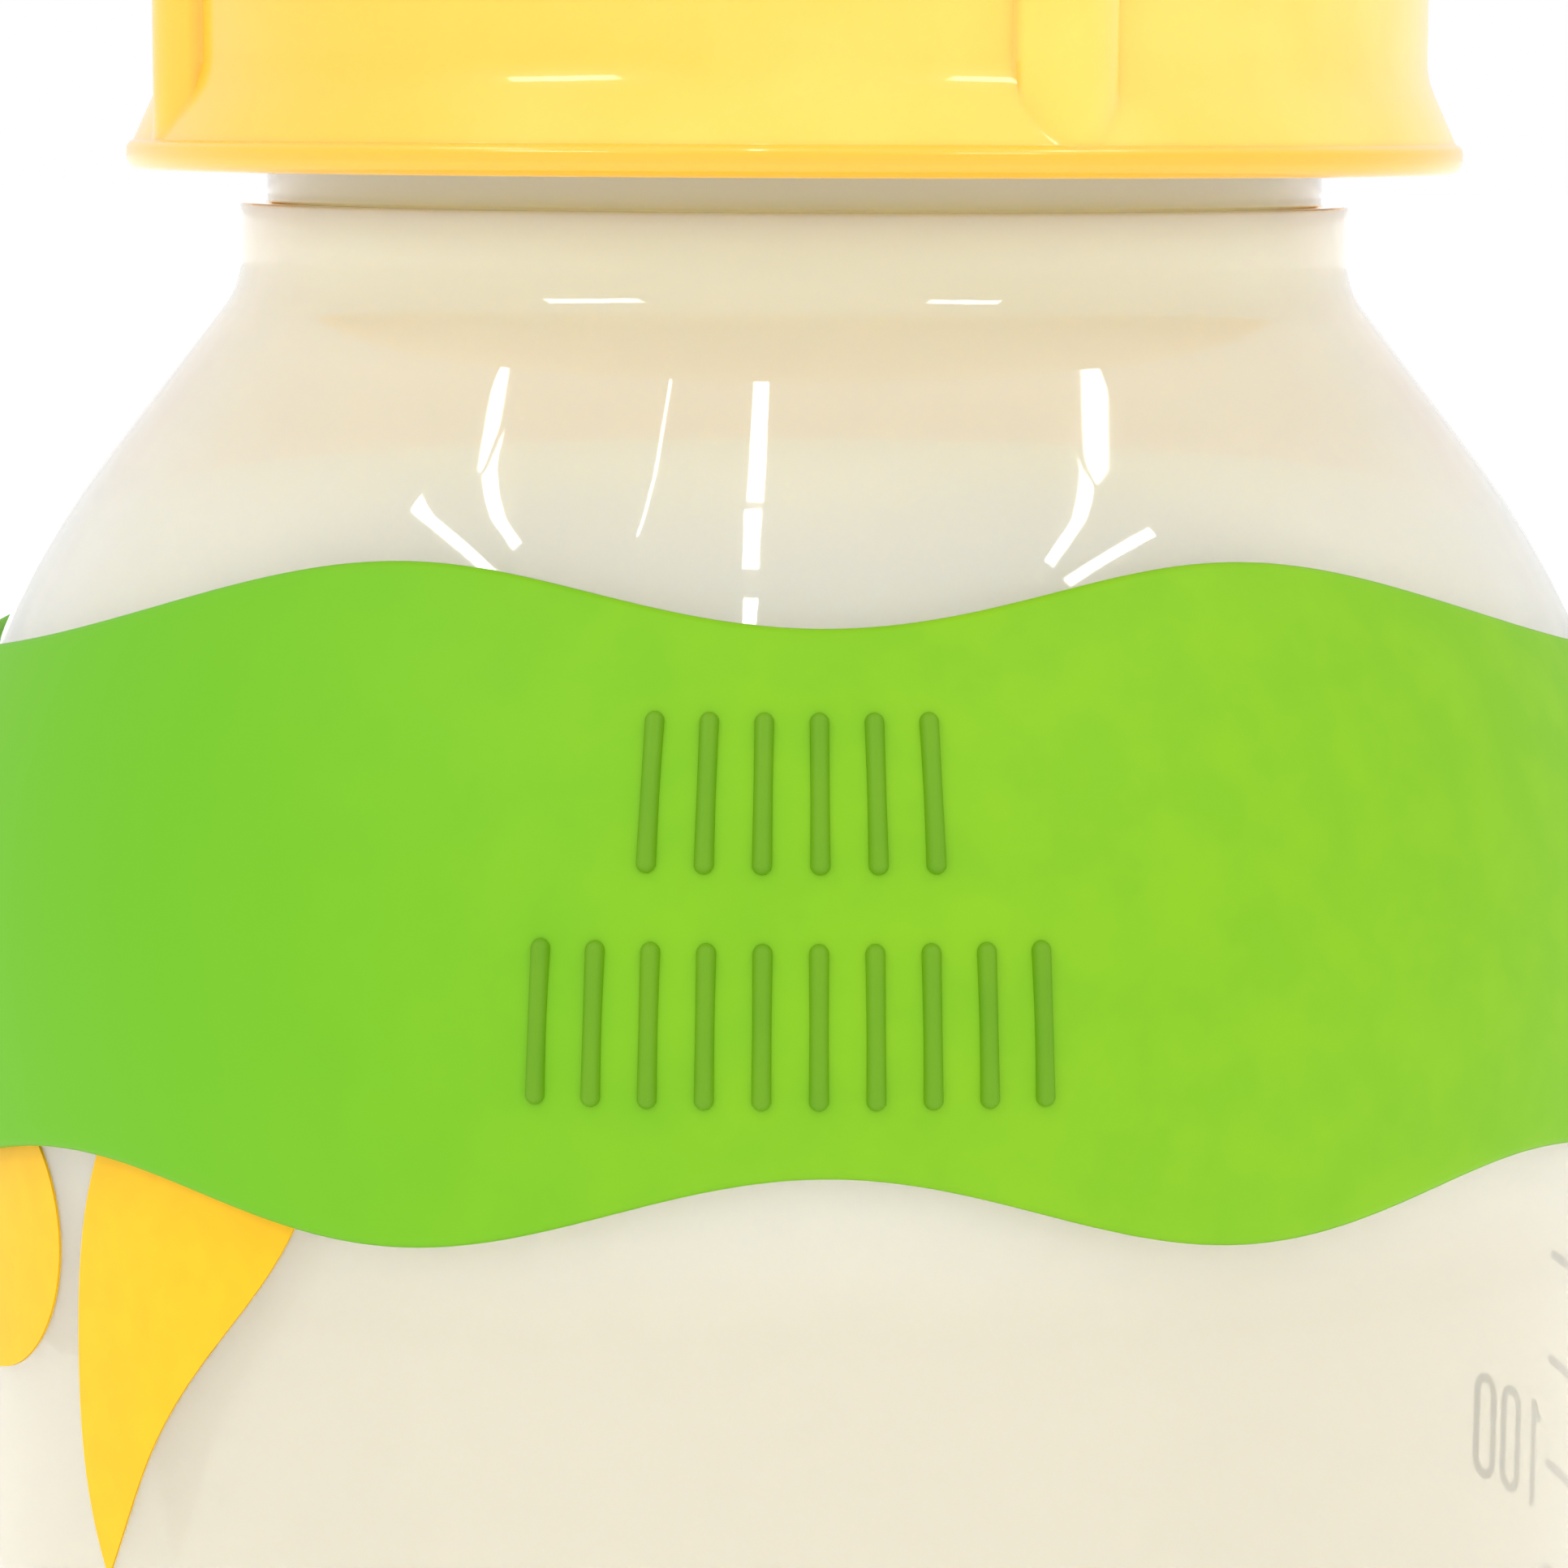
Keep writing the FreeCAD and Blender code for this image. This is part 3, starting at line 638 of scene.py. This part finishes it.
def make_stage():
    """A wide pale floor under the bottle."""
    made = bmesh.new()
    bmesh.ops.create_grid(made, x_segments=1, y_segments=1, size=6.0)
    mesh = bpy.data.meshes.new("floor")
    made.to_mesh(mesh)
    made.free()
    floor = bpy.data.objects.new("floor", mesh)
    floor.location.z = cad_bounds[0][2]
    bpy.context.scene.collection.objects.link(floor)
    material, nodes, links, shader = new_material("floor_paper")
    shader.inputs["Base Color"].default_value = (0.92, 0.92, 0.92, 1)
    shader.inputs["Roughness"].default_value = 0.9
    shader.inputs["Emission Color"].default_value = (1, 1, 1, 1)
    shader.inputs["Emission Strength"].default_value = 0.3
    mesh.materials.append(material)


def strip_power(strip_size, radiance):
    """The power in watts of an area light with this size and radiance."""
    return radiance * math.pi * strip_size[0] * strip_size[1]


def add_strip(name, start, end, width, radiance, colour=(1, 1, 1)):
    """A long thin light from one point to the other, facing the bottle's shoulder."""
    start, end = Vector(start), Vector(end)
    middle = (start + end) / 2
    along = (end - start).normalized()
    facing = (middle - Vector(LIT_POINT)).normalized()
    facing = (facing - along * facing.dot(along)).normalized()
    data = bpy.data.lights.new(name, "AREA")
    data.shape = "RECTANGLE"
    data.size = width
    data.size_y = (end - start).length
    data.energy = strip_power((data.size, data.size_y), radiance)
    data.color = colour
    light = bpy.data.objects.new(name, data)
    turned = Matrix((along.cross(facing), along, facing)).transposed().to_4x4()
    light.matrix_world = Matrix.Translation(middle) @ turned
    bpy.context.scene.collection.objects.link(light)


def ceiling(x, y):
    """A point on the ceiling, CEILING metres above the shoulder."""
    return (x * CEILING, y * CEILING, LIT_POINT[2] + CEILING)


def make_lights():
    world = bpy.data.worlds.new("studio")
    world.use_nodes = True
    back = world.node_tree.nodes["Background"]
    back.inputs["Color"].default_value = (1, 1, 1, 1)
    bpy.context.scene.world = world
    for name, start, end, width in TUBES:
        add_strip(name, ceiling(*start), ceiling(*end), width, TUBE_RADIANCE, TUBE_COLOUR)
    for name, start, end in SOFT_BOXES:
        add_strip(name, start, end, BOX_WIDTH, BOX_RADIANCE)


def make_camera():
    """Close to the bottle, just above the neck's height, looking down a little."""
    distance = 0.172
    height = 0.092
    data = bpy.data.cameras.new("camera")
    data.sensor_width = 36
    data.lens = 114.36
    data.clip_start = 0.01
    data.clip_end = 50
    camera = bpy.data.objects.new("camera", data)
    camera.location = (0, -distance, height)
    pitch = math.radians(90 - 7.62)
    yaw = math.radians(0.088)
    roll = math.radians(0.25)
    turned = Matrix.Rotation(yaw, 4, "Z") @ Matrix.Rotation(pitch, 4, "X") @ Matrix.Rotation(roll, 4, "Z")
    camera.rotation_euler = turned.to_euler()
    bpy.context.scene.collection.objects.link(camera)
    bpy.context.scene.camera = camera
    return camera


def place(piece, body, node):
    """Let a piece stand for a CAD node on its body, and hide that node."""
    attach(piece, body)
    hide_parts(node)


def dress(node, material):
    """Give a CAD node its material."""
    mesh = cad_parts[node].data
    mesh.materials.clear()
    mesh.materials.append(material)


make_camera()
make_lights()
make_stage()
bpy.context.scene.view_settings.view_transform = "Standard"

# The ring's left colour and lip colour are painted shade: a darker -X side and a darker lip underside.
ring_plastic = plastic("ring_plastic", srgb(249, 203, 78), srgb(251, 208, 90), 240, 0.32,
                       coat=0.6, glow=0.7, left_shade=srgb(250, 190, 45), lip_shade=srgb(240, 180, 36))
# The sleeve's left colour is painted shade: a darker -X side.
sleeve_silicone = plastic("sleeve_silicone", srgb(118, 178, 4), srgb(125, 182, 3), 420, 0.55, 6e-6,
                          shine=0.3, left_shade=srgb(100, 175, 6))
bar_silicone = plastic("bar_silicone", srgb(96, 150, 3), srgb(101, 153, 4), 420, 0.55, 4e-6, shine=0.3)
petal_ink = plastic("petal_ink", srgb(242, 182, 0), srgb(246, 187, 2), 900, 0.5, shine=0.3)
scale_ink = plastic("scale_ink", srgb(92, 62, 10), srgb(100, 70, 16), 900, 0.5, shine=0.1)
disc_plastic = plastic("disc_plastic", srgb(238, 238, 234), srgb(244, 244, 240), 300, 0.4)
teat_silicone = clear_material("teat_silicone", srgb(250, 242, 224), 0.28, 0.35, 1.12)
hood_plastic = clear_material("hood_plastic", srgb(232, 241, 246), 0.03, 0.92, 1.4)

place(make_bottle(bottle_material()), "bottle", "bottle_body")
place(make_ring(ring_plastic), "ring", "screw_ring")
place(make_teat(teat_silicone), "teat_stack", "teat")
place(make_hood(hood_plastic), "hood", "hood")
place(make_sleeve(sleeve_silicone), "sleeve", "grip_sleeve")
place(make_bars(bar_silicone), "sleeve", "sleeve_grip_bars")
dress("petal_prints", petal_ink)
dress("volume_scale", scale_ink)
dress("sealing_disc", disc_plastic)
